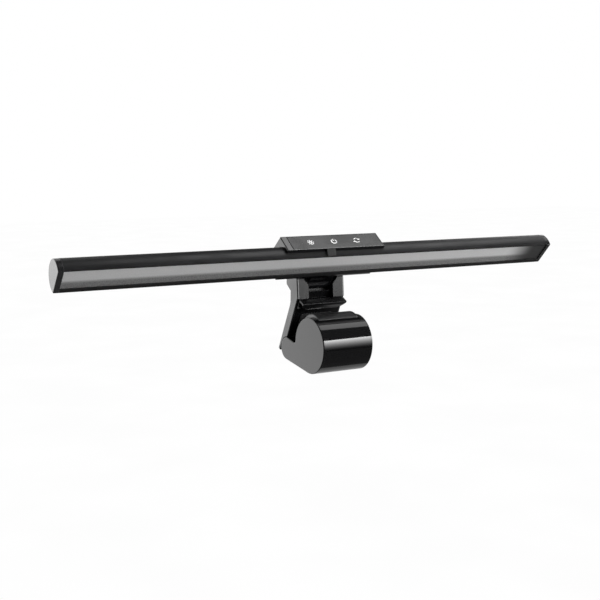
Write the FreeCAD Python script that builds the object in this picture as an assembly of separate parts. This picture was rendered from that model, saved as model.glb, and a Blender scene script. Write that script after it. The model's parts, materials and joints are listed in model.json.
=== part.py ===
import FreeCAD, Part
import math
import os

# A light bar that sits on a monitor's top edge: an extruded lamp with a touch module, a clamp that
# the lamp tilts on, and a sprung counterweight that hangs from the clamp.
# Millimetres. X runs to the right along the lamp, Y to the rear, Z up. The origin is the centre of
# the clamp's seat pad. Angles are in the plane of Y and Z, in degrees from +Y towards +Z.

Vector = FreeCAD.Vector

# Lamp section: a flat face below and a crowned top that meet at the front, closed by a round back.
# Both are placed from FRONT_EDGE, where the face's plane and the top's chord would meet.
LAMP_LENGTH = 450.0
FRONT_EDGE = (-37.83, 58.45)
FRONT_DROP = 0.8
TOP_CROWN = (6.5, 1.0)
SHOULDER_ROUND = 4.0
EDGE_ROUND = 0.3
FACE_ANGLE = -48.2
FACE_WIDTH = 23.1
TOP_ANGLE = 36.1
TOP_WIDTH = 12.75
BACK_CENTRE_ALONG_FACE = 11.85
BACK_CENTRE_DEPTH = 5.8
BACK_RADIUS = 12.64
WALL = 1.2
CAP_THICK = 4.2
END_ROUND = 0.8

# Light channel, measured along the face from the front edge and in depth from the face.
CHANNEL = (1.3, 19.4)
CHANNEL_BREAK = 0.4
GROOVE_SIDE = 0.5
DIFFUSER_DEPTH = (0.8, 2.3)
BOARD_DEPTH = (9.0, 10.0)
LED_BOARD_EDGES = (3.0, 17.3)
LED_SIZE = (2.8, 3.5, 0.7)
LED_COUNT = 36
LED_PITCH = 12.2
LED_ROWS = {"leds_warm": 7.6, "leds_cool": 12.6}
REFLECTOR_THICK = 0.4

# Touch module: a cradle round the lamp's back, measured along and above the lamp's top face.
MODULE_HALF = 45.0
MODULE_TOP = 3.8
MODULE_FRONT = 4.9
MODULE_REAR = 21.0
MODULE_RADIUS = 17.6
MODULE_GAP = 0.15
PANEL_X = (-39.4, 43.8)
PANEL_EDGES = (5.3, 20.5)
PANEL_THICK = 1.2
PANEL_GROOVE = 0.45
KEYS_X = (-21.0, 0.4, 21.8)
KEYS_ALONG = 13.0
POCKET_EDGES = (7.6, 19.0)
CONTROL_BOARD_HEIGHT = (1.15, 1.85)
KEY_PAD_RADIUS = 2.4
SOCKET_SIZE = (9.0, 3.2)
SOCKET_WALL = 0.35
SOCKET_EDGES = (15.9, 21.85)
SOCKET_HEIGHT = -0.15
WINDOW_X = (-10.0, -2.2)

# Tilt joint between the lamp's arm and the clamp.
TILT_AXIS = (-0.93, 34.55)
ARM_HALF = 10.7
ARM_THICK = 8.0
BARREL_RADIUS = 6.0
AXLE_RADIUS = 2.0
RUNNING_GAP = 0.05
SLIP_GAP = 0.02

# Clamp: ears at the top, a lip that hooks over the bezel, and a leg that lies on the monitor.
LEG_ANGLE = -63.2
LEG_THICK = 8.4
CORE_HALF = 20.55
SIDE_THICK = 1.7
EAR_RADIUS = 8.9
SLOT_HALF = 11.5
SLOT_FLOOR = 27.2
SLOT_FRONT = -7.0
SLOT_EDGE_BREAK = 0.3
BARREL_CLEAR = 0.2
RECESS_BACK = -3.8
COVER_THICK = 1.6
LEG_TIP = 30.4
PAD_THICK = 0.8
SEAT_HALF = (15.0, 9.0)
BOSS_PLACES = [(x, t) for x in (-13.5, 13.5) for t in (-7.0, 8.5)]

# Counterweight: a drum on a tail that turns on the hinge pin at the leg's end.
HINGE_ALONG_LEG = 21.8
HINGE_AHEAD = 4.3
TAIL_RADIUS = 9.2
TAIL_TOP_ANGLE = 102.4
DRUM_CENTRE = (-30.58, -13.15)
DRUM_RADIUS = 22.5
DRUM_HALF = 22.9
DRUM_INNER_ROUND = 2.5
PLATE_THICK = 1.6
DRUM_WALL = 2.0
CHEEK_INSIDE = 17.2
FORK_DEPTH = 3.2
LUG_HALF = (10.3, 16.6)
LUG_RADIUS = 7.6
SLUG_HALF = 14.2
GRIP_ANGLES = (24.0, 110.0)
GRIP_HALF = 18.3
GRIP_THICK = 2.7
GRIP_GROOVES = 7

PARTS = "parts"


def going(point, *steps):
    """The (y, z) point reached from a point by steps of (distance, angle)."""
    y, z = point
    for distance, angle in steps:
        y += distance * math.cos(math.radians(angle))
        z += distance * math.sin(math.radians(angle))
    return (y, z)


def face_point(along, depth):
    return going(FRONT_EDGE, (along, FACE_ANGLE), (depth, FACE_ANGLE + 90))


def top_point(along, height):
    return going(FRONT_EDGE, (along, TOP_ANGLE), (height, TOP_ANGLE + 90))


def leg_point(along, depth):
    """A point down the leg from the seat's centre, and in depth from the leg's front surface."""
    return going((0, 0), (along, LEG_ANGLE), (depth + PAD_THICK, LEG_ANGLE + 90))


BACK_CENTRE = face_point(BACK_CENTRE_ALONG_FACE, BACK_CENTRE_DEPTH)
HINGE = leg_point(HINGE_ALONG_LEG, -HINGE_AHEAD)
ARM_ANGLE = math.degrees(math.atan2(TILT_AXIS[1] - BACK_CENTRE[1], TILT_AXIS[0] - BACK_CENTRE[0]))
HOUSING_HALF = LAMP_LENGTH / 2 - CAP_THICK
SIDE_HALF = CORE_HALF + SIDE_THICK
SHELL_HALF = DRUM_HALF - PLATE_THICK


def on_x(point, x=0.0):
    return Vector(x, point[0], point[1])


def slab(x_low, x_high, start, *steps):
    """A solid between two X planes. A step is a (y, z) corner, or ((y, z) on an arc, (y, z) at its end)."""
    edges = []
    here = start
    for step in (*steps, start):
        if isinstance(step[0], tuple):
            via, end = step
            edges.append(Part.Arc(on_x(here, x_low), on_x(via, x_low), on_x(end, x_low)).toShape())
        else:
            end = step
            if math.dist(here, end) > 1e-6:
                edges.append(Part.LineSegment(on_x(here, x_low), on_x(end, x_low)).toShape())
        here = end
    return Part.Face(Part.Wire(edges)).extrude(Vector(x_high - x_low, 0, 0))


def rod(centre, radius, x_low, x_high):
    """A round bar along X."""
    return Part.makeCylinder(radius, x_high - x_low, on_x(centre, x_low), Vector(1, 0, 0))


def ring(centre, outside, inside, x_low, x_high):
    return rod(centre, outside, x_low, x_high).cut(rod(centre, inside, x_low - 1, x_high + 1))


def peg(start, end, radius, x):
    """A round bar in the plane at x, from one (y, z) point to another."""
    a, b = on_x(start, x), on_x(end, x)
    return Part.makeCylinder(radius, (b - a).Length, a, b - a)


def stretched(start, end, by):
    """The two ends of a line after each has moved outwards by a distance."""
    angle = math.degrees(math.atan2(end[1] - start[1], end[0] - start[0]))
    return going(start, (-by, angle)), going(end, (by, angle))


def block(place, x_range, along, across):
    """A box between X planes whose other sides follow a place function such as face_point."""
    corners = [(along[0], across[0]), (along[1], across[0]), (along[1], across[1]), (along[0], across[1])]
    points = [place(*corner) for corner in corners]
    return slab(x_range[0], x_range[1], *points)


def both(x_low, x_high):
    """The X range and its mirror image."""
    return ((x_low, x_high), (-x_high, -x_low))


def fused(shapes):
    shapes = list(shapes)
    return shapes[0].fuse(shapes[1:]).removeSplitter() if len(shapes) > 1 else shapes[0]


def group(shapes):
    return Part.makeCompound(list(shapes))


def end_edges(shape, x):
    """The edges that lie wholly in the plane at x."""
    return [e for e in shape.Edges if abs(e.BoundBox.XMin - x) < 1e-4 and abs(e.BoundBox.XMax - x) < 1e-4]


def edges_at(shape, corner):
    """The edges along X through a (y, z) corner."""
    return [e for e in shape.Edges if all(math.dist((v.Y, v.Z), corner) < 1e-4 for v in e.Vertexes)]


def screw(head, tip, x, head_radius, head_high, shank_radius):
    """A pan-head screw in the plane at x, with a cross recess, from its head's top to its tip."""
    angle = math.degrees(math.atan2(tip[1] - head[1], tip[0] - head[0]))
    body = peg(head, going(head, (head_high, angle)), head_radius, x)
    body = body.fuse(peg(going(head, (head_high / 2, angle)), tip, shank_radius, x))
    for turn in (45, 135):
        bar = Part.makeBox(head_radius * 1.3, head_radius * 0.3, head_high)
        bar.translate(Vector(-head_radius * 0.65, -head_radius * 0.15, -head_high / 2))
        bar.rotate(Vector(0, 0, 0), Vector(0, 0, 1), turn)
        bar.rotate(Vector(0, 0, 0), Vector(1, 0, 0), angle - 90)
        bar.translate(on_x(head, x))
        body = body.cut(bar)
    return body


# ---------------------------------------------------------------- lamp


def lamp_section(x_low, x_high):
    front = face_point(FRONT_DROP, 0)
    shoulder = top_point(TOP_WIDTH, 0)
    lower = face_point(FACE_WIDTH, 0)
    back = (going(BACK_CENTRE, (BACK_RADIUS, -5)), lower)
    body = slab(x_low, x_high, front, (top_point(*TOP_CROWN), shoulder), back)
    body = body.makeFillet(SHOULDER_ROUND, edges_at(body, shoulder))
    return body.makeFillet(EDGE_ROUND, edges_at(body, front) + edges_at(body, lower))


def back_cavity(x_low, x_high, clear):
    """The hollow behind the light channel's web, made smaller all round by clear."""
    round_part = rod(BACK_CENTRE, BACK_RADIUS - WALL - clear, x_low, x_high)
    web_back = BOARD_DEPTH[1] + WALL + clear
    return round_part.common(block(face_point, (x_low, x_high), (2.5 + clear, 30), (web_back, 30)))


LEAD_ENDS = (top_point(15.0, CONTROL_BOARD_HEIGHT[0]), face_point(10.0, BOARD_DEPTH[1]))
LEAD_PLACES = (-12.0, 12.0)
LIP_BORE = face_point(21.5, 3.9)
LIP_BORE_RADIUS = 1.1
CASE_SCREW_PLACES = (-35.0, 35.0)
CASE_SCREW_ANGLE = -8.0


def bar_housing():
    x_range = (-HOUSING_HALF, HOUSING_HALF)
    body = lamp_section(*x_range)
    groove = (CHANNEL[0] - GROOVE_SIDE, CHANNEL[1] + GROOVE_SIDE)
    body = body.cut(block(face_point, x_range, CHANNEL, (-1, BOARD_DEPTH[1])))
    body = body.cut(block(face_point, x_range, groove, (DIFFUSER_DEPTH[0] - 0.1, DIFFUSER_DEPTH[1] + 0.1)))
    lower = CHANNEL[1]
    sloped = [
        face_point(lower - 0.1, CHANNEL_BREAK),
        face_point(lower, CHANNEL_BREAK),
        face_point(lower + CHANNEL_BREAK, 0),
        face_point(lower - 0.1, -0.1),
    ]
    body = body.cut(slab(*x_range, *sloped))
    body = body.cut(back_cavity(*x_range, 0))
    body = body.cut(rod(LIP_BORE, LIP_BORE_RADIUS, *x_range))
    for x in LEAD_PLACES:
        body = body.cut(peg(*stretched(*LEAD_ENDS, 0.6), 0.8, x))
    for x in CASE_SCREW_PLACES:
        outside = going(BACK_CENTRE, (BACK_RADIUS + 1, CASE_SCREW_ANGLE))
        inside = going(BACK_CENTRE, (BACK_RADIUS - 3, CASE_SCREW_ANGLE))
        body = body.cut(peg(outside, inside, 1.22, x))
    return body


def end_cap(side):
    outer = LAMP_LENGTH / 2
    plate = lamp_section(HOUSING_HALF, outer)
    plate = plate.makeFillet(END_ROUND, end_edges(plate, outer))
    plug = back_cavity(HOUSING_HALF - 5, HOUSING_HALF + 1, 0.15)
    pin = rod(LIP_BORE, LIP_BORE_RADIUS - 0.05, HOUSING_HALF - 5, HOUSING_HALF + 1)
    cap = fused([plate, plug, pin])
    return cap if side > 0 else cap.mirror(Vector(0, 0, 0), Vector(1, 0, 0))


def diffuser():
    edges = (CHANNEL[0] - GROOVE_SIDE + 0.15, CHANNEL[1] + GROOVE_SIDE - 0.15)
    return block(face_point, (-HOUSING_HALF + 0.1, HOUSING_HALF - 0.1), edges, DIFFUSER_DEPTH)


def led_places():
    first = -LED_PITCH * (LED_COUNT - 1) / 2
    return [first + LED_PITCH * i for i in range(LED_COUNT)]


def reflector():
    """A white liner: two walls and a base that the lamps look through."""
    x_range = (-HOUSING_HALF + 0.2, HOUSING_HALF - 0.2)
    sides = (CHANNEL[0] + 0.15, CHANNEL[1] - 0.15)
    depth = (DIFFUSER_DEPTH[1] + 0.2, BOARD_DEPTH[0])
    liner = block(face_point, x_range, sides, depth)
    inner = (sides[0] + REFLECTOR_THICK, sides[1] - REFLECTOR_THICK)
    liner = liner.cut(block(face_point, x_range, inner, (depth[0] - 1, depth[1] - REFLECTOR_THICK)))
    window = (min(LED_ROWS.values()) - 2.4, max(LED_ROWS.values()) + 2.4)
    through = (depth[1] - 1, depth[1] + 1)
    return liner.cut(group(block(face_point, (x - 2.2, x + 2.2), window, through) for x in led_places()))


def led_board():
    return block(face_point, (-HOUSING_HALF + 0.5, HOUSING_HALF - 0.5), LED_BOARD_EDGES, BOARD_DEPTH)


def led_row(along):
    width, length, high = LED_SIZE
    depth = (BOARD_DEPTH[0] - high, BOARD_DEPTH[0])
    span = (along - length / 2, along + length / 2)
    return group(block(face_point, (x - width / 2, x + width / 2), span, depth) for x in led_places())


def board_leads():
    return group(peg(*stretched(*LEAD_ENDS, -0.7), 0.45, x) for x in LEAD_PLACES)


# ---------------------------------------------------------------- touch module


FRONT_FOOT = (MODULE_FRONT, 0.97)
LENS_TENON = (MODULE_FRONT + 0.6, 1.2, 2.4)


def stadium(x_centre, size, along, grow):
    """A flat-sided rounded bar that runs along the top face's direction: the charging socket's form."""
    width, high = size[0] + 2 * grow, size[1] + 2 * grow
    middle = SOCKET_HEIGHT
    flat = block(
        top_point,
        (x_centre - width / 2 + high / 2, x_centre + width / 2 - high / 2),
        along,
        (middle - high / 2, middle + high / 2),
    )
    ends = [
        Part.makeCylinder(
            high / 2,
            along[1] - along[0],
            on_x(top_point(along[0], middle), x),
            on_x(top_point(1, 0)) - on_x(top_point(0, 0)),
        )
        for x in (x_centre - width / 2 + high / 2, x_centre + width / 2 - high / 2)
    ]
    return fused([flat, *ends])


def control_case():
    bar_gap = BACK_RADIUS + MODULE_GAP
    case = slab(
        -MODULE_HALF,
        MODULE_HALF,
        top_point(*FRONT_FOOT),
        top_point(MODULE_FRONT, MODULE_TOP),
        top_point(MODULE_REAR, MODULE_TOP),
        going(BACK_CENTRE, (MODULE_RADIUS, 38.8)),
        (going(BACK_CENTRE, (MODULE_RADIUS, 0)), going(BACK_CENTRE, (MODULE_RADIUS, -53))),
        going(BACK_CENTRE, (bar_gap, -58)),
        (going(BACK_CENTRE, (bar_gap, 0)), top_point(TOP_WIDTH + 0.1, MODULE_GAP)),
        (top_point(TOP_CROWN[0], TOP_CROWN[1] + MODULE_GAP), top_point(*FRONT_FOOT)),
    )
    for x in (-MODULE_HALF, MODULE_HALF):
        case = case.makeFillet(END_ROUND, outer_case_edges(case, x))
    reach = math.dist(BACK_CENTRE, TILT_AXIS)
    arm = [
        going(BACK_CENTRE, (distance, ARM_ANGLE), (side * ARM_THICK / 2, ARM_ANGLE + 90))
        for distance, side in ((MODULE_RADIUS - 2, -1), (reach, -1), (reach, 1), (MODULE_RADIUS - 2, 1))
    ]
    case = fused([case, slab(-ARM_HALF, ARM_HALF, *arm), rod(TILT_AXIS, BARREL_RADIUS, -ARM_HALF, ARM_HALF)])
    case = case.cut(rod(TILT_AXIS, AXLE_RADIUS + RUNNING_GAP, -ARM_HALF - 1, ARM_HALF + 1))
    panel_floor = MODULE_TOP - PANEL_THICK
    recess_x = (PANEL_X[0] - PANEL_GROOVE, PANEL_X[1] + 0.1)
    recess = (PANEL_EDGES[0] - 0.1, PANEL_EDGES[1] + 0.1)
    case = case.cut(block(top_point, recess_x, recess, (panel_floor, MODULE_TOP + 1)))
    pocket_x = (PANEL_X[0] + 1, -PANEL_X[0] - 1)
    case = case.cut(block(top_point, pocket_x, POCKET_EDGES, (-3.5, panel_floor + 1)))
    case = case.cut(stadium(0, SOCKET_SIZE, (POCKET_EDGES[1] - 1, MODULE_REAR + 3), 0.1))
    depth, tenon_low, tenon_high = LENS_TENON
    mortise = ((MODULE_FRONT - 1, depth + 0.05), (tenon_low - 0.05, tenon_high + 0.05))
    case = case.cut(block(top_point, WINDOW_X, *mortise))
    for x in CASE_SCREW_PLACES:
        outside = going(BACK_CENTRE, (MODULE_RADIUS + 1, CASE_SCREW_ANGLE))
        floor = going(BACK_CENTRE, (MODULE_RADIUS - 2.6, CASE_SCREW_ANGLE))
        inside = going(BACK_CENTRE, (BACK_RADIUS - 1, CASE_SCREW_ANGLE))
        case = case.cut(peg(outside, floor, 2.5, x)).cut(peg(floor, inside, 1.3, x))
    return case


def outer_case_edges(case, x):
    """The end edges of the cradle's outside, leaving out those that face the lamp."""
    near = BACK_RADIUS + MODULE_GAP + 0.6
    found = []
    for edge in end_edges(case, x):
        middle = edge.valueAt((edge.FirstParameter + edge.LastParameter) / 2)
        away = math.dist((middle.y, middle.z), BACK_CENTRE)
        if away > near and edge.Length > 4:
            found.append(edge)
    return found


def touch_panel():
    panel = block(top_point, PANEL_X, PANEL_EDGES, (MODULE_TOP - PANEL_THICK, MODULE_TOP))
    upper = [e for e in panel.Edges if all(height_above_top(v.Point) > MODULE_TOP - 1e-4 for v in e.Vertexes)]
    return panel.makeChamfer(0.2, upper)


def height_above_top(point):
    up = math.radians(TOP_ANGLE + 90)
    return (point.y - FRONT_EDGE[0]) * math.cos(up) + (point.z - FRONT_EDGE[1]) * math.sin(up)


def control_board():
    edges = (POCKET_EDGES[0] + 0.3, POCKET_EDGES[1] - 0.3)
    board = block(top_point, (-37.0, 37.0), edges, CONTROL_BOARD_HEIGHT)
    board = board.cut(block(top_point, (-4.8, 4.8), (SOCKET_EDGES[0] - 0.3, 20), (-1, 2)))
    top = CONTROL_BOARD_HEIGHT[1]
    chips = [
        block(top_point, (26, 31), (10.5, 15.5), (top, top + 0.6)),
        block(top_point, (-31, -27.5), (10.5, 14), (top, top + 0.6)),
        block(top_point, (32.5, 35.5), (11, 12.8), (top, top + 0.5)),
    ]
    return fused([board, *chips])


def touch_pads():
    """Conductive pads that join the board to the panel's three keys."""
    low, high = CONTROL_BOARD_HEIGHT[1], MODULE_TOP - PANEL_THICK
    start = on_x(top_point(KEYS_ALONG, low))
    up = on_x(top_point(KEYS_ALONG, high)) - start
    return group(Part.makeCylinder(KEY_PAD_RADIUS, up.Length, start + Vector(x, 0, 0), up) for x in KEYS_X)


def sensor_window():
    """A wedge-shaped lens in front of the module's wall, which looks down at the desk, and its tenon."""
    wall = MODULE_FRONT - 0.05
    depth, tenon_low, tenon_high = LENS_TENON
    profile = [
        (0.45, -0.38),
        (0.45, 0.15),
        (4.3, 3.5),
        (wall, 3.5),
        (wall, tenon_high),
        (depth, tenon_high),
        (depth, tenon_low),
        (wall, tenon_low),
        (wall, 1.05),
    ]
    return slab(WINDOW_X[0] + 0.05, WINDOW_X[1] - 0.05, *[top_point(*place) for place in profile])


def usb_socket():
    shell = stadium(0, SOCKET_SIZE, SOCKET_EDGES, 0)
    mouth = stadium(0, SOCKET_SIZE, (SOCKET_EDGES[0] + 0.6, SOCKET_EDGES[1] + 1), -SOCKET_WALL)
    tongue = block(
        top_point,
        (-3.3, 3.3),
        (SOCKET_EDGES[0] + 0.3, SOCKET_EDGES[1] - 1),
        (SOCKET_HEIGHT - 0.35, SOCKET_HEIGHT + 0.35),
    )
    return fused([shell.cut(mouth), tongue])


def case_screws():
    head = going(BACK_CENTRE, (MODULE_RADIUS - 0.9, CASE_SCREW_ANGLE))
    tip = going(BACK_CENTRE, (BACK_RADIUS - 2.4, CASE_SCREW_ANGLE))
    return group(screw(head, tip, x, 2.3, 1.6, 1.2) for x in CASE_SCREW_PLACES)


# ---------------------------------------------------------------- clamp


LIP_BASE = 13.9
LIP_UNDER = (-13.0, LIP_BASE)
LIP_LOW = (-15.9, 16.1)
LIP_FRONT = (-17.0, 17.6)
LIP_NOSE = (-17.3, 18.0)
LIP_HIGH = (-17.0, 18.5)
LIP_ROOT = (-11.4, 21.3)
LIP_HOLLOW = [(-10.6, 19.9), (-15.4, 17.9), (-15.2, 17.0), (-12.9, 15.1), (-9.5, 15.1)]
LIP_SLOPE = [(CORE_HALF + 1, 17.0), (CORE_HALF, 17.0), (16.3, 13.0), (CORE_HALF + 1, 13.0)]
EAR_FOOT = (-10.9, 22.0)
EAR_FRONT = (-9.7, 38.1)
EAR_TOP = going(TILT_AXIS, (EAR_RADIUS, 128))
KNUCKLE_HEEL = going(TILT_AXIS, (EAR_RADIUS, -16))
NECK_TOP = (1.15, 27.4)
NECK_BOTTOM = (1.5, 18.4)
TAIL_CLEAR = TAIL_RADIUS + 0.4
SEAT_CORNER = leg_point((LIP_BASE - leg_point(0, 0)[1]) / math.sin(math.radians(LEG_ANGLE)), 0)
COVER_CORNER = leg_point((EAR_FOOT[1] - leg_point(0, 0)[1]) / math.sin(math.radians(LEG_ANGLE)), 0)
LEG_FOOT_ALONG = HINGE_ALONG_LEG - math.sqrt(TAIL_CLEAR**2 - HINGE_AHEAD**2)


def clamp_form(x_low, x_high, rear_depth, tip, *front):
    """The clamp seen from the side, from its leg's rear at rear_depth round to the front's own corners."""
    behind_tail = TAIL_CLEAR - HINGE_AHEAD + 0.1
    over_tail = going(HINGE, (TAIL_CLEAR, LEG_ANGLE + 90 + 40))
    return slab(
        x_low,
        x_high,
        EAR_FRONT,
        EAR_TOP,
        (going(TILT_AXIS, (EAR_RADIUS, 60)), KNUCKLE_HEEL),
        NECK_TOP,
        NECK_BOTTOM,
        leg_point(-13.0, rear_depth),
        leg_point(tip, rear_depth),
        leg_point(tip, behind_tail),
        leg_point(HINGE_ALONG_LEG, behind_tail),
        (over_tail, leg_point(LEG_FOOT_ALONG, 0)),
        *front,
    )


def upright(side, corners, y_low, y_high):
    """A solid between two Y planes from its (x, z) corners on one side of the middle."""
    outline = Part.makePolygon([Vector(side * x, y_low, z) for x, z in (*corners, corners[0])])
    return Part.Face(outline).extrude(Vector(0, y_high - y_low, 0))


def clamp_core():
    core_depth = LEG_THICK - COVER_THICK - 0.05
    lip = (SEAT_CORNER, LIP_UNDER, LIP_LOW, LIP_FRONT, (LIP_NOSE, LIP_HIGH), LIP_ROOT, EAR_FOOT)
    core = clamp_form(-CORE_HALF, CORE_HALF, core_depth, HINGE_ALONG_LEG + 4, *lip)
    core = core.cut(slab(-CORE_HALF - 1, CORE_HALF + 1, *LIP_HOLLOW))
    slot = [(-30, SLOT_FLOOR), (TILT_AXIS[0], SLOT_FLOOR), TILT_AXIS]
    slot += [(30, TILT_AXIS[1]), (30, 60), (-30, 60)]
    core = core.cut(slab(-SLOT_HALF, SLOT_HALF, *slot))
    core = core.cut(rod(TILT_AXIS, BARREL_RADIUS + BARREL_CLEAR, -SLOT_HALF, SLOT_HALF))
    front_recess = [
        (-30, LIP_ROOT[1]),
        (RECESS_BACK, LIP_ROOT[1]),
        (SLOT_FRONT, SLOT_FLOOR - SLOT_EDGE_BREAK),
        (SLOT_FRONT + SLOT_EDGE_BREAK, SLOT_FLOOR),
        (SLOT_FRONT + SLOT_EDGE_BREAK, 31),
        (-30, 31),
    ]
    core = core.cut(slab(-SLOT_HALF, SLOT_HALF, *front_recess))
    for side in (-1, 1):
        flare = [(SLOT_HALF - 1, 31.5), (15.8, 37.5), (15.8, 46), (SLOT_HALF - 1, 46)]
        core = core.cut(upright(side, flare, -20, -6)).cut(upright(side, LIP_SLOPE, -20, -9.4))
    core = core.cut(block(leg_point, (-17.0, 17.0), (-10.0, 12.0), (2.2, 9)))
    bosses = [peg(leg_point(t, 1.5), leg_point(t, core_depth), 2.6, x) for x, t in BOSS_PLACES]
    root = [(15.2, -5.0), (10.6, 0.5), (10.6, 4.0), (25.0, 4.0), (28.5, -2.0)]
    lugs = []
    for x_low, x_high in both(*LUG_HALF):
        lugs.append(rod(HINGE, LUG_RADIUS, x_low, x_high))
        lugs.append(slab(x_low, x_high, *[leg_point(*place) for place in root]))
    core = fused([core, *bosses, *lugs])
    core = core.cut(rod(HINGE, AXLE_RADIUS + SLIP_GAP, -CORE_HALF, CORE_HALF))
    core = core.cut(rod(TILT_AXIS, AXLE_RADIUS + SLIP_GAP, -CORE_HALF - 1, CORE_HALF + 1))
    for x, t in BOSS_PLACES:
        core = core.cut(peg(leg_point(t, 2.2), leg_point(t, core_depth + 1), 0.92, x))
    return core


def side_cover(side):
    cover = clamp_form(CORE_HALF, SIDE_HALF, LEG_THICK, LEG_TIP, COVER_CORNER, EAR_FOOT)
    cover = cover.makeFillet(END_ROUND, end_edges(cover, SIDE_HALF))
    return cover if side > 0 else cover.mirror(Vector(0, 0, 0), Vector(1, 0, 0))


def back_cover():
    half = CORE_HALF - 0.05
    cover = block(leg_point, (-half, half), (-12.9, LEG_TIP), (LEG_THICK - COVER_THICK, LEG_THICK))
    for x, t in BOSS_PLACES:
        cover = cover.cut(peg(leg_point(t, LEG_THICK - COVER_THICK - 1), leg_point(t, LEG_THICK + 1), 1.1, x))
        cover = cover.cut(peg(leg_point(t, LEG_THICK - 1.25), leg_point(t, LEG_THICK + 1), 2.1, x))
    return cover


def back_cover_screws():
    top = LEG_THICK - 0.15
    return group(screw(leg_point(t, top), leg_point(t, 2.6), x, 1.9, 1.1, 0.9) for x, t in BOSS_PLACES)


def rounded_pad(pad, axis_angle, radius):
    """The pad with the four edges that run through its thickness rounded."""
    way = on_x(going((0, 0), (1, axis_angle)))
    through = []
    for edge in pad.Edges:
        run = (edge.Vertexes[1].Point - edge.Vertexes[0].Point).normalize()
        if abs(abs(run.dot(way)) - 1) < 1e-6:
            through.append(edge)
    return pad.makeFillet(radius, through)


def seat_pad():
    half_x, half_t = SEAT_HALF
    pad = block(leg_point, (-half_x, half_x), (-half_t, half_t), (-PAD_THICK, 0))
    return rounded_pad(pad, LEG_ANGLE + 90, 2.0)


def lip_pad():
    low = LIP_BASE - PAD_THICK
    pad = slab(-SEAT_HALF[0], SEAT_HALF[0], (-12.7, low), (-7.9, low), (-7.9, LIP_BASE), (-12.7, LIP_BASE))
    return rounded_pad(pad, 90, 1.5)


def tilt_axle():
    axle = rod(TILT_AXIS, AXLE_RADIUS, -CORE_HALF + 0.2, CORE_HALF - 0.2)
    return axle.makeChamfer(0.3, end_edges(axle, CORE_HALF - 0.2) + end_edges(axle, -CORE_HALF + 0.2))


def friction_washers():
    play = (SLOT_HALF - ARM_HALF) / 8
    places = both(ARM_HALF + play, SLOT_HALF - play)
    return group(ring(TILT_AXIS, 5.4, AXLE_RADIUS + 0.1, low, high) for low, high in places)


def hinge_pin():
    end = SHELL_HALF - 0.2
    pin = rod(HINGE, AXLE_RADIUS, -end, end)
    return pin.makeChamfer(0.3, end_edges(pin, end) + end_edges(pin, -end))


def torsion_spring():
    """A close-wound coil round the hinge pin, with a straight leg at each end."""
    wire, coil, half = 0.55, 4.0, 8.4
    helix = Part.makeHelix(1.4, 2 * half, coil)
    start = helix.Vertexes[0].Point
    section = Part.Wire([Part.makeCircle(wire, start, Vector(0, 1, 0.05))])
    spring = Part.Wire(helix.Edges).makePipeShell([section], True, True)
    spring.rotate(Vector(0, 0, 0), Vector(0, 1, 0), 90)
    spring.translate(on_x(HINGE, -half))
    return spring


# ---------------------------------------------------------------- counterweight


def tail_meets_drum():
    """Where the tail's straight upper edge runs into the drum's circle."""
    start = going(HINGE, (TAIL_RADIUS, TAIL_TOP_ANGLE))
    way = math.radians(TAIL_TOP_ANGLE + 90)
    dy, dz = start[0] - DRUM_CENTRE[0], start[1] - DRUM_CENTRE[1]
    half_b = dy * math.cos(way) + dz * math.sin(way)
    left = half_b**2 - (dy**2 + dz**2 - DRUM_RADIUS**2)
    return going(start, (-half_b - math.sqrt(left), TAIL_TOP_ANGLE + 90))


def drum_form(x_low, x_high):
    """The drum and its tail seen from the side, with the inner corner between them rounded."""
    to_drum = math.degrees(math.atan2(DRUM_CENTRE[1] - HINGE[1], DRUM_CENTRE[0] - HINGE[0]))
    lean = math.degrees(math.asin((DRUM_RADIUS - TAIL_RADIUS) / math.dist(HINGE, DRUM_CENTRE)))
    under = to_drum + lean + 90
    corner = tail_meets_drum()
    form = slab(
        x_low,
        x_high,
        going(HINGE, (TAIL_RADIUS, TAIL_TOP_ANGLE)),
        (going(HINGE, (TAIL_RADIUS, 0)), going(HINGE, (TAIL_RADIUS, under))),
        going(DRUM_CENTRE, (DRUM_RADIUS, under)),
        (going(DRUM_CENTRE, (DRUM_RADIUS, 180)), corner),
    )
    return form.makeFillet(DRUM_INNER_ROUND, edges_at(form, corner))


def weight_shell():
    shell = drum_form(-SHELL_HALF, SHELL_HALF)
    shell = shell.cut(rod(DRUM_CENTRE, DRUM_RADIUS - DRUM_WALL, -SHELL_HALF - 1, SHELL_HALF + 1))
    shell = shell.cut(rod(HINGE, LUG_RADIUS + 1.0, -CHEEK_INSIDE, CHEEK_INSIDE))
    y, z = HINGE[0] - FORK_DEPTH, HINGE[1]
    behind = slab(-CHEEK_INSIDE, CHEEK_INSIDE, (y, z - 20), (y + 20, z - 20), (y + 20, z + 20), (y, z + 20))
    shell = shell.cut(behind)
    return shell.cut(rod(HINGE, AXLE_RADIUS + RUNNING_GAP, -SHELL_HALF - 1, SHELL_HALF + 1))


def weight_plate(side):
    plate = drum_form(SHELL_HALF, DRUM_HALF)
    plate = plate.makeFillet(END_ROUND, end_edges(plate, DRUM_HALF))
    inside = DRUM_RADIUS - DRUM_WALL - 0.1
    spacer = ring(DRUM_CENTRE, inside, inside - 2, SLUG_HALF + 0.1, SHELL_HALF)
    plate = fused([plate, spacer])
    return plate if side > 0 else plate.mirror(Vector(0, 0, 0), Vector(1, 0, 0))


def weight_slug():
    return rod(DRUM_CENTRE, DRUM_RADIUS - DRUM_WALL - 0.1, -SLUG_HALF, SLUG_HALF)


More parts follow.
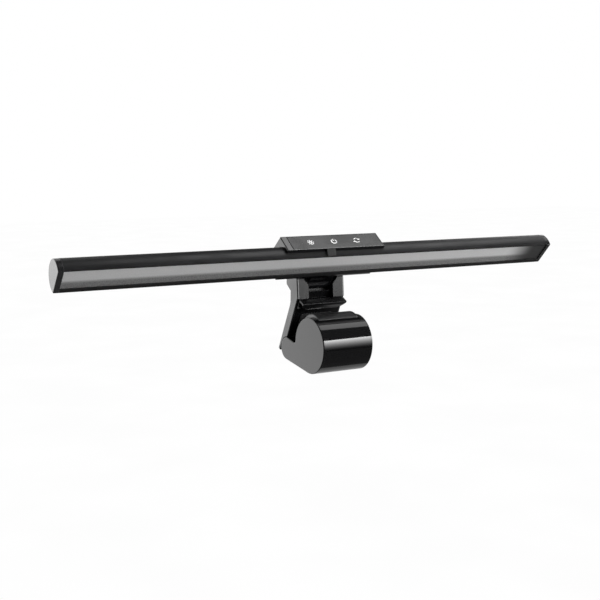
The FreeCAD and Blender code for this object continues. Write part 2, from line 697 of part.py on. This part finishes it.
def grip_pad():
    """A ribbed rubber pad on the drum, where the weight bears on the monitor's back."""
    outside = DRUM_RADIUS + GRIP_THICK
    low, high = GRIP_ANGLES
    middle = (low + high) / 2
    pad = slab(
        -GRIP_HALF,
        GRIP_HALF,
        going(DRUM_CENTRE, (DRUM_RADIUS, low)),
        (going(DRUM_CENTRE, (outside, middle)), going(DRUM_CENTRE, (DRUM_RADIUS, high))),
        (going(DRUM_CENTRE, (DRUM_RADIUS, middle)), going(DRUM_CENTRE, (DRUM_RADIUS, low))),
    )
    step = (high - low) / (GRIP_GROOVES + 3)
    for i in range(GRIP_GROOVES):
        angle = middle + (i - (GRIP_GROOVES - 1) / 2) * step
        groove = going(DRUM_CENTRE, (outside + 0.35, angle))
        pad = pad.cut(rod(groove, 0.9, -GRIP_HALF - 1, GRIP_HALF + 1))
    return pad


def main():
    nodes = {
        "bar_housing": bar_housing(),
        "end_cap_left": end_cap(-1),
        "end_cap_right": end_cap(1),
        "diffuser": diffuser(),
        "reflector": reflector(),
        "led_board": led_board(),
        "board_leads": board_leads(),
        "control_case": control_case(),
        "touch_panel": touch_panel(),
        "control_board": control_board(),
        "touch_pads": touch_pads(),
        "sensor_window": sensor_window(),
        "usb_socket": usb_socket(),
        "case_screws": case_screws(),
        "clamp_core": clamp_core(),
        "side_cover_left": side_cover(-1),
        "side_cover_right": side_cover(1),
        "back_cover": back_cover(),
        "back_cover_screws": back_cover_screws(),
        "seat_pad": seat_pad(),
        "lip_pad": lip_pad(),
        "tilt_axle": tilt_axle(),
        "friction_washers": friction_washers(),
        "hinge_pin": hinge_pin(),
        "torsion_spring": torsion_spring(),
        "weight_shell": weight_shell(),
        "weight_plate_left": weight_plate(-1),
        "weight_plate_right": weight_plate(1),
        "weight_slug": weight_slug(),
        "grip_pad": grip_pad(),
    }
    for name, along in LED_ROWS.items():
        nodes[name] = led_row(along)
    os.makedirs(PARTS, exist_ok=True)
    for name, shape in nodes.items():
        shape.exportStep(f"{PARTS}/{name}.step")
        print(f"{name}: {len(shape.Solids)} solids, {shape.Volume:.0f} mm3, valid {shape.isValid()}")


main()
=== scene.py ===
import json
import math

import bmesh
import bpy
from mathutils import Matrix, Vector


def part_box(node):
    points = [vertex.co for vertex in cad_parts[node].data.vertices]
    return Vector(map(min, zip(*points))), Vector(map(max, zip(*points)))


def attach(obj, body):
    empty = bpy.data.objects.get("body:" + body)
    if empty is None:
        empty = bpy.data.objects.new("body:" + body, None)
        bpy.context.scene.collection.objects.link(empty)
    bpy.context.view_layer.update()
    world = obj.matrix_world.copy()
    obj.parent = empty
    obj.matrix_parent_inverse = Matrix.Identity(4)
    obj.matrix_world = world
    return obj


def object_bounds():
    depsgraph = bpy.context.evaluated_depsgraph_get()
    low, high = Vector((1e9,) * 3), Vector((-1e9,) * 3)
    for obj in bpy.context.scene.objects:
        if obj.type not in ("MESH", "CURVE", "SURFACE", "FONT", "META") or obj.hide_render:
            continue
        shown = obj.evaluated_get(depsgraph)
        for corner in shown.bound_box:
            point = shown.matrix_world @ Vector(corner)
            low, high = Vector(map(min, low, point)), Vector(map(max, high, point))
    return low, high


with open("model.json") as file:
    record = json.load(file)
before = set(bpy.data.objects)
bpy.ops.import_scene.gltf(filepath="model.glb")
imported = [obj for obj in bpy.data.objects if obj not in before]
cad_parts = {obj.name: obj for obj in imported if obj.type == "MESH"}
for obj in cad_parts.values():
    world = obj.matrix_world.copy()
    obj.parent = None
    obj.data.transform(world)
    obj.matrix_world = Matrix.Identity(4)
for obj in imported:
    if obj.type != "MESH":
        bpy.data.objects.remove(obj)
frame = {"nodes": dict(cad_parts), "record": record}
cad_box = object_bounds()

# Everything is in metres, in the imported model's own frame. A noise scale is in cells per metre.
MM = 0.001
NODES = frame["nodes"]
SLOT_OF = {part["node"]: part["material_slot"] for part in frame["record"]["subparts"]}

# The camera looks at a point near the clamp from the front left, a little above.
CAMERA_AIM = Vector((0.0, 0.02397, 0.01565))
CAMERA_DISTANCE = 0.8601
CAMERA_TURN = math.radians(-29.84)
CAMERA_RISE = math.radians(7.87)
CAMERA_LENS = 60.85
SENSOR_WIDTH = 36.0

BACKDROP_LIGHT = 1.0
STUDIO_LIGHT = 0.11
FLOOR_DROP = 0.6
FLOOR_HALF = 12.0

# Lit panels: centre from the camera's aim, the way the panel faces away from the object, its width
# and height, its strength, and the power of its fade from the top edge down (0 for an even panel).
SOFTBOXES = {
    "front_right_box": ((0.782, -1.160, 0.049), (0.559, -0.829, 0.035), (1.0, 0.91), 18.0, 2.4),
    "overhead_box": ((0.700, -0.066, 1.210), (0.500, -0.047, 0.865), (0.75, 0.90), 2.2, 0.0),
    "left_rear_box": ((-0.761, 1.613, -0.219), (-0.423, 0.896, -0.122), (3.0, 3.0), 1.9, 0.0),
    "under_rear_box": ((0.40, 0.53, -0.52), (0.0, 0.0, -1.0), (1.3, 1.05), 0.6, 0.0),
    "right_side_box": ((1.40, 0.50, 0.30), (0.92, 0.33, 0.20), (1.2, 1.2), 1.6, 0.0),
    "high_rear_box": ((-0.20, 1.00, 1.20), (-0.13, 0.64, 0.76), (1.2, 0.8), 0.9, 0.0),
}


# ---------------------------------------------------------------- node helpers


def node(tree, kind, settings=None, **inputs):
    """A shader node with its properties set, and its inputs linked or given values.

    An input is named with _ for a space, or i and its number.
    """
    made = tree.nodes.new(kind)
    for name, value in (settings or {}).items():
        setattr(made, name, value)
    for name, value in inputs.items():
        numbered = name[0] == "i" and name[1:].isdigit()
        socket = made.inputs[int(name[1:]) if numbered else name.replace("_", " ")]
        if isinstance(value, bpy.types.NodeSocket):
            tree.links.new(value, socket)
        else:
            socket.default_value = value
    return made


def new_tree(name):
    """A material and its emptied node tree."""
    material = bpy.data.materials.new(name)
    material.use_nodes = True
    material.node_tree.nodes.clear()
    return material, material.node_tree


def grain(tree, scale, stretch=(1.0, 1.0, 1.0), detail=3.0):
    """Noise fixed to the object, finer along an axis with a larger stretch."""
    place = node(tree, "ShaderNodeTexCoord").outputs["Object"]
    cells = tuple(scale * s for s in stretch)
    mapped = node(tree, "ShaderNodeMapping", Vector=place, Scale=cells).outputs[0]
    made = node(tree, "ShaderNodeTexNoise", Vector=mapped, Scale=1.0, Detail=detail, Roughness=0.55)
    return made.outputs["Fac"]


def ramp(tree, value, low, high, start=0.3, end=0.7):
    """A value between start and end carried over smoothly to the range low to high."""
    made = node(
        tree,
        "ShaderNodeMapRange",
        {"interpolation_type": "SMOOTHSTEP"},
        Value=value,
        From_Min=start,
        From_Max=end,
        To_Min=low,
        To_Max=high,
    )
    return made.outputs[0]


def times(tree, a, b):
    return node(tree, "ShaderNodeMath", {"operation": "MULTIPLY"}, i0=a, i1=b).outputs[0]


def along(tree, place, way):
    """How far each point is along a direction."""
    made = node(tree, "ShaderNodeVectorMath", {"operation": "DOT_PRODUCT"}, i0=place, i1=way)
    return made.outputs["Value"]


def blend(tree, factor, first, second):
    """A colour from first to second as the factor goes from 0 to 1."""
    return node(tree, "ShaderNodeMix", {"data_type": "RGBA"}, i0=factor, i6=first, i7=second).outputs[2]


def finish(
    name, colour, rough, *, vary=0.15, smear=0.25, scale=1500.0, stretch=(1, 1, 1), bump=0.05,
    relief=0.05, soften=0.0, **shader_values
):
    """A material whose tone and relief follow a fine grain, and whose gloss drifts over broad patches.

    relief is the grain's height and soften the radius at which edges catch the light, both in mm.
    """
    material, tree = new_tree(name)
    fine = grain(tree, scale, stretch)
    dark = (*(c * (1 - vary) for c in colour), 1.0)
    light = (*(min(1.0, c * (1 + vary)) for c in colour), 1.0)
    bumped = node(tree, "ShaderNodeBump", Strength=bump, Distance=relief * MM, Height=fine)
    if soften:
        rounded = node(tree, "ShaderNodeBevel", {"samples": 6}, Radius=soften * MM)
        tree.links.new(rounded.outputs[0], bumped.inputs["Normal"])
    patches = grain(tree, 45.0, detail=2.0)
    shader = node(
        tree,
        "ShaderNodeBsdfPrincipled",
        Base_Color=blend(tree, ramp(tree, fine, 0.0, 1.0), dark, light),
        Roughness=ramp(tree, patches, rough * (1 - smear), rough * (1 + smear)),
        Normal=bumped.outputs[0],
        **shader_values,
    )
    node(tree, "ShaderNodeOutputMaterial", Surface=shader.outputs[0])
    return material


# ---------------------------------------------------------------- materials

# The housing's matt rim, painted near black as shade along the channel's lip: where it begins above
# the diffuser's face, and how far it takes to set in.
SHADED_RIM_START = 0.25 * MM
SHADED_RIM_FADE = 0.15 * MM
# The diffuser's painted shade: its dim lower band, standing in for the lower lip's shadow, sets in between
# these shares of its face, and its dim right end, painted shade as well, between these distances from that
# end.
PAINTED_SHADE_SHARES = (0.52, 0.74)
PAINTED_END_SHADE_SPAN = (44 * MM, 12 * MM)


def diffuser_face():
    """The diffuser's top front corner, the way down its face, the face's width and its right end."""
    corners = [vertex.co for vertex in NODES["diffuser"].data.vertices]
    front, low = min(c.y for c in corners), min(c.z for c in corners)
    top = max((c for c in corners if c.y < front + 1e-5), key=lambda c: c.z)
    foot = min((c for c in corners if c.z < low + 1e-5), key=lambda c: c.y)
    down = foot - top
    down.x = 0.0
    return top, down.normalized(), down.length, max(c.x for c in corners)


def anodised_housing():
    """Satin black metal, drawn lengthways; the channel holding the diffuser has a matt rim painted near black
    as shade.
    """
    top, down = diffuser_face()[:2]
    outward_of_face = Vector((0.0, down.z, -down.y))
    lip_plane = top.dot(outward_of_face)

    material, tree = new_tree("black_aluminium")
    place = node(tree, "ShaderNodeTexCoord").outputs["Object"]
    off_face = along(tree, place, outward_of_face)
    shaded_matt_rim = ramp(tree, off_face, 0.0, 1.0, lip_plane + SHADED_RIM_START, lip_plane + SHADED_RIM_START + SHADED_RIM_FADE)
    drawn = grain(tree, 300.0, (0.3, 9, 9))
    metal = blend(tree, ramp(tree, drawn, 0.0, 1.0), (0.024, 0.024, 0.025, 1), (0.032, 0.032, 0.033, 1))
    rounded = node(tree, "ShaderNodeBevel", {"samples": 6}, Radius=0.2 * MM).outputs[0]
    relief = node(tree, "ShaderNodeBump", Strength=0.12, Distance=0.05 * MM, Height=drawn, Normal=rounded)
    shader = node(
        tree,
        "ShaderNodeBsdfPrincipled",
        # Painted shade: the rim goes near black along the channel's lip, where the edge falls in shade; its
        # matt, non-metal finish is its own.
        Base_Color=blend(tree, shaded_matt_rim, metal, (0.006, 0.006, 0.006, 1)),
        Roughness=ramp(tree, shaded_matt_rim, ramp(tree, grain(tree, 45.0, detail=2.0), 0.30, 0.42), 0.75, 0.0, 1.0),
        Metallic=ramp(tree, shaded_matt_rim, 0.5, 0.0, 0.0, 1.0),
        Specular_IOR_Level=0.4,
        Normal=relief.outputs[0],
    )
    node(tree, "ShaderNodeOutputMaterial", Surface=shader.outputs[0])
    return material


def frosted_diffuser():
    """Frosted sheet with painted shade: an even light band, a grainier band darkened as the lower lip's
    shadow, and a darkened right end.
    """
    top, down, width, end = diffuser_face()

    material, tree = new_tree("diffuser")
    place = node(tree, "ShaderNodeTexCoord").outputs["Object"]
    start = top.dot(down)
    shade_band_start, shade_band_end = (start + share * width for share in PAINTED_SHADE_SHARES)
    painted_shade_band = ramp(tree, along(tree, place, down), 0.0, 1.0, shade_band_start, shade_band_end)
    across = node(tree, "ShaderNodeSeparateXYZ", Vector=place).outputs["X"]
    # Painted shade: the sheet darkens to near black towards its right end, next to the end cap.
    painted_end_shade = ramp(tree, across, 0.0, 1.0, end - PAINTED_END_SHADE_SPAN[0], end - PAINTED_END_SHADE_SPAN[1])
    frost = grain(tree, 1500.0, detail=4.0)
    light = blend(tree, ramp(tree, frost, 0.0, 1.0), (0.78, 0.78, 0.78, 1), (0.86, 0.86, 0.86, 1))
    # Painted shade: the dim, grainier copy of the frost stands in for the lower lip's shadow on the sheet.
    painted_shade_frost = blend(tree, ramp(tree, frost, 0.0, 1.0), (0.17, 0.17, 0.17, 1), (0.38, 0.38, 0.38, 1))
    shaded = blend(tree, painted_shade_band, light, painted_shade_frost)
    shader = node(
        tree,
        "ShaderNodeBsdfPrincipled",
        Base_Color=blend(tree, painted_end_shade, shaded, (0.03, 0.03, 0.03, 1)),
        Roughness=ramp(tree, frost, 0.35, 0.5),
        Normal=node(tree, "ShaderNodeBump", Strength=0.15, Distance=0.04 * MM, Height=frost).outputs[0],
    )
    node(tree, "ShaderNodeOutputMaterial", Surface=shader.outputs[0])
    return material


# Finishes by the record's slot, and for a few nodes by the node's own name, which comes first.
FINISHES = {
    "black_aluminium": anodised_housing(),
    "black_cap": finish(
        "black_cap", (0.010, 0.010, 0.011), 0.20, scale=2600.0, bump=0.06, soften=0.25,
        Specular_IOR_Level=0.95,
    ),
    "diffuser": frosted_diffuser(),
    "white_liner": finish("white_liner", (0.82, 0.82, 0.80), 0.5, vary=0.03),
    "circuit_board": finish("circuit_board", (0.74, 0.76, 0.74), 0.4, vary=0.04),
    "led_warm": finish("led_warm", (0.85, 0.60, 0.16), 0.3, vary=0.08, scale=3000.0),
    "led_cool": finish("led_cool", (0.86, 0.80, 0.40), 0.3, vary=0.08, scale=3000.0),
    "wire": finish("wire", (0.35, 0.03, 0.03), 0.45, vary=0.1),
    "black_gloss": finish(
        "black_gloss", (0.006, 0.006, 0.0065), 0.07, scale=900.0, bump=0.02, smear=0.35, soften=0.15
    ),
    "control_case": finish(
        "case_plastic", (0.008, 0.008, 0.009), 0.14, scale=2600.0, bump=0.06, soften=0.25,
        Specular_IOR_Level=0.8,
    ),
    "clamp_core": finish(
        "clamp_plastic", (0.008, 0.008, 0.0085), 0.30, scale=2600.0, bump=0.12, soften=0.25,
        Specular_IOR_Level=0.3,
    ),
    "cover_plastic": finish(
        "cover_plastic", (0.020, 0.020, 0.021), 0.30, scale=2600.0, bump=0.12, soften=0.2,
        Specular_IOR_Level=0.9,
    ),
    "black_satin": finish("black_satin", (0.020, 0.020, 0.021), 0.40, scale=3200.0, bump=0.3),
    "touch_panel": finish("touch_panel", (0.020, 0.020, 0.021), 0.25, scale=3000.0, bump=0.06),
    "contact_foam": finish("contact_foam", (0.22, 0.22, 0.23), 0.9, scale=3500.0, bump=0.5),
    "smoked_window": finish("smoked_window", (0.05, 0.05, 0.05), 0.6, scale=1200.0, Specular_IOR_Level=0.1),
    "bright_metal": finish("bright_metal", (0.70, 0.70, 0.71), 0.22, Metallic=1.0),
    "screw_steel": finish("screw_steel", (0.08, 0.08, 0.082), 0.35, scale=2500.0, bump=0.2, Metallic=0.9),
    "silicone": finish("silicone", (0.035, 0.035, 0.036), 0.75, scale=2500.0, bump=0.3, Sheen_Weight=0.1),
    "steel": finish("steel", (0.60, 0.60, 0.61), 0.25, stretch=(9, 1, 1), bump=0.15, Metallic=1.0),
    "spring_steel": finish("spring_steel", (0.42, 0.42, 0.43), 0.3, Metallic=1.0),
    "iron": finish("iron", (0.18, 0.18, 0.19), 0.5, scale=1200.0, bump=0.4, Metallic=0.8),
    "grip_rubber": finish(
        "grip_rubber", (0.020, 0.020, 0.021), 0.38, scale=2600.0, bump=0.25, soften=0.25,
        Specular_IOR_Level=0.8,
    ),
}
OWN_FINISH = {"side_cover_left": "cover_plastic", "side_cover_right": "cover_plastic"}


def finish_nodes():
    for name, obj in NODES.items():
        key = OWN_FINISH.get(name, name)
        material = FINISHES.get(key, FINISHES[SLOT_OF[name]])
        obj.data.materials.clear()
        obj.data.materials.append(material)


# ---------------------------------------------------------------- printed key marks

MARK_HIGH = 0.03 * MM
MARK_STROKE = 0.85 * MM
MARK_CLEAR = 0.01 * MM
PAD_RADIUS = 2.4 * MM
SUN_DISC = 1.05 * MM
SUN_RAYS = (1.9 * MM, 2.9 * MM)
POWER_RING = 2.3 * MM
POWER_STEM = (0.6 * MM, 3.0 * MM)
CYCLE_RING = 2.4 * MM
CYCLE_BARB = 1.3 * MM


def arc(radius, start, end, steps=28):
    """Points on a circle round the mark's centre, from one angle in degrees to another."""
    turns = [math.radians(start + (end - start) * i / steps) for i in range(steps + 1)]
    return [Vector((radius * math.cos(t), radius * math.sin(t))) for t in turns]


def stroke(mesh, points, width, place):
    """A thin raised line of even width along flat points, carried to space by place(u, v, height)."""
    rails = []
    for i, point in enumerate(points):
        way = (points[min(i + 1, len(points) - 1)] - points[max(i - 1, 0)]).normalized()
        side = Vector((-way.y, way.x)) * width / 2
        corners = [(point + side, 0), (point - side, 0), (point - side, MARK_HIGH), (point + side, MARK_HIGH)]
        rails.append([mesh.verts.new(place(flat.x, flat.y, high)) for flat, high in corners])
    for near, far in zip(rails, rails[1:]):
        for i in range(4):
            mesh.faces.new((near[i], near[(i + 1) % 4], far[(i + 1) % 4], far[i]))
    mesh.faces.new(rails[0][::-1])
    mesh.faces.new(rails[-1])


def sun_mark():
    rays = [math.radians(45 * i) for i in range(8)]
    spokes = [[Vector((math.cos(t), math.sin(t))) * reach for reach in SUN_RAYS] for t in rays]
    return [arc(SUN_DISC, 0, 352), *spokes]


def power_mark():
    return [arc(POWER_RING, 125, 415), [Vector((0, high)) for high in POWER_STEM]]


def cycle_mark():
    """Two half turns, each with a small arrowhead."""
    lines = []
    for turn in (0, 180):
        half_turn = arc(CYCLE_RING, turn + 20, turn + 150)
        tip = half_turn[0]
        lines.append(half_turn)
        for lean in (35, 125):
            heading = math.radians(turn + lean)
            barb = Vector((math.cos(heading), math.sin(heading))) * CYCLE_BARB
            lines.append([tip, tip + barb])
    return lines


def make_marks():
    """The three printed marks on the touch panel, over the pads that sense a finger."""
    panel = NODES["touch_panel"].data
    top = max((p for p in panel.polygons if p.normal.z > 0.5), key=lambda p: p.area)
    rear_up = top.normal.cross(Vector((-1, 0, 0))).normalized()
    if rear_up.z < 0:
        rear_up = -rear_up
    low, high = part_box("touch_pads")
    middle = (low + high) / 2
    places = {
        "key_mark_dim": low.x + PAD_RADIUS,
        "key_mark_power": middle.x,
        "key_mark_cycle": high.x - PAD_RADIUS,
    }
    drawings = {"key_mark_dim": sun_mark, "key_mark_power": power_mark, "key_mark_cycle": cycle_mark}
    for name, x in places.items():
        centre = Vector((x, middle.y, middle.z))
        centre += top.normal * ((top.center - centre).dot(top.normal) + MARK_CLEAR)

        def place(u, v, height):
            return centre + Vector((u, 0, 0)) + rear_up * v + top.normal * height

        mesh = bmesh.new()
        for line in drawings[name]():
            stroke(mesh, line, MARK_STROKE, place)
        bmesh.ops.recalc_face_normals(mesh, faces=mesh.faces)
        data = bpy.data.meshes.new(name)
        mesh.to_mesh(data)
        mesh.free()
        data.materials.append(PRINT_WITH_PAINTED_GLOW)
        mark = bpy.data.objects.new(name, data)
        bpy.context.scene.collection.objects.link(mark)
        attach(mark, "lamp")


# White print that also glows faintly: the glow is painted light, since the marks are no lamp.
PRINT_WITH_PAINTED_GLOW = finish(
    "printed_marks", (0.92, 0.92, 0.92), 0.5, vary=0.05, scale=4000.0,
    Emission_Color=(1, 1, 1, 1), Emission_Strength=0.35,
)


# ---------------------------------------------------------------- stage, lights and camera


def outward(turn, rise):
    """The direction from the object towards something at that turn about Z and rise above level."""
    return Vector((math.sin(turn) * math.cos(rise), -math.cos(turn) * math.cos(rise), math.sin(rise)))


def make_camera():
    data = bpy.data.cameras.new("camera")
    data.lens = CAMERA_LENS
    data.sensor_width = SENSOR_WIDTH
    data.clip_start = 0.01
    data.clip_end = 60.0
    camera = bpy.data.objects.new("camera", data)
    bpy.context.scene.collection.objects.link(camera)
    back = outward(CAMERA_TURN, CAMERA_RISE)
    camera.location = CAMERA_AIM + back * CAMERA_DISTANCE
    camera.rotation_mode = "QUATERNION"
    camera.rotation_quaternion = (-back).to_track_quat("-Z", "Y")
    bpy.context.scene.camera = camera
    bpy.context.scene.view_settings.view_transform = "Standard"


def make_world():
    """White behind the object, and a dim studio in what reflects and lights it."""
    world = bpy.data.worlds.new("studio")
    bpy.context.scene.world = world
    world.use_nodes = True
    tree = world.node_tree
    tree.nodes.clear()
    seen = node(tree, "ShaderNodeBackground", Color=(1, 1, 1, 1), Strength=BACKDROP_LIGHT).outputs[0]
    around = node(tree, "ShaderNodeBackground", Color=(1, 1, 1, 1), Strength=STUDIO_LIGHT).outputs[0]
    direct = node(tree, "ShaderNodeLightPath").outputs["Is Camera Ray"]
    mixed = node(tree, "ShaderNodeMixShader", Fac=direct, i1=around, i2=seen)
    node(tree, "ShaderNodeOutputWorld", Surface=mixed.outputs[0])


def plate(name, width, height):
    """A flat rectangle round its own origin, linked into the scene."""
    mesh = bpy.data.meshes.new(name)
    x, y = width / 2, height / 2
    mesh.from_pydata([(-x, -y, 0), (x, -y, 0), (x, y, 0), (-x, y, 0)], [], [(0, 1, 2, 3)])
    made = bpy.data.objects.new(name, mesh)
    bpy.context.scene.collection.objects.link(made)
    return made


def make_floor():
    """A wide pale floor below the held-up lamp, which the camera sees but the lamp's gloss doesn't."""
    floor = plate("floor", 2 * FLOOR_HALF, 2 * FLOOR_HALF)
    floor.location = (0, 0, cad_box[0].z - FLOOR_DROP)
    material, tree = new_tree("floor")
    level = ramp(tree, grain(tree, 3.0, detail=2.0), 0.985 * BACKDROP_LIGHT, BACKDROP_LIGHT)
    pale = node(tree, "ShaderNodeEmission", Color=(1, 1, 1, 1), Strength=level)
    node(tree, "ShaderNodeOutputMaterial", Surface=pale.outputs[0])
    floor.data.materials.append(material)
    floor.visible_glossy = False
    floor.visible_diffuse = False


def make_lights():
    for name, (offset, facing, size, strength, fade) in SOFTBOXES.items():
        panel = plate(name, *size)
        panel.location = CAMERA_AIM + Vector(offset)
        panel.rotation_mode = "QUATERNION"
        panel.rotation_quaternion = Vector(facing).to_track_quat("Z", "Y")
        panel.visible_camera = False
        material, tree = new_tree(name)
        place = node(tree, "ShaderNodeTexCoord").outputs["Generated"]
        high = node(tree, "ShaderNodeSeparateXYZ", Vector=place).outputs["Y"]
        share = node(tree, "ShaderNodeMath", {"operation": "POWER"}, i0=high, i1=fade).outputs[0]
        glow = node(tree, "ShaderNodeEmission", Color=(1, 1, 1, 1), Strength=times(tree, share, strength))
        node(tree, "ShaderNodeOutputMaterial", Surface=glow.outputs[0])
        panel.data.materials.append(material)


finish_nodes()
make_marks()
make_camera()
make_world()
make_floor()
make_lights()
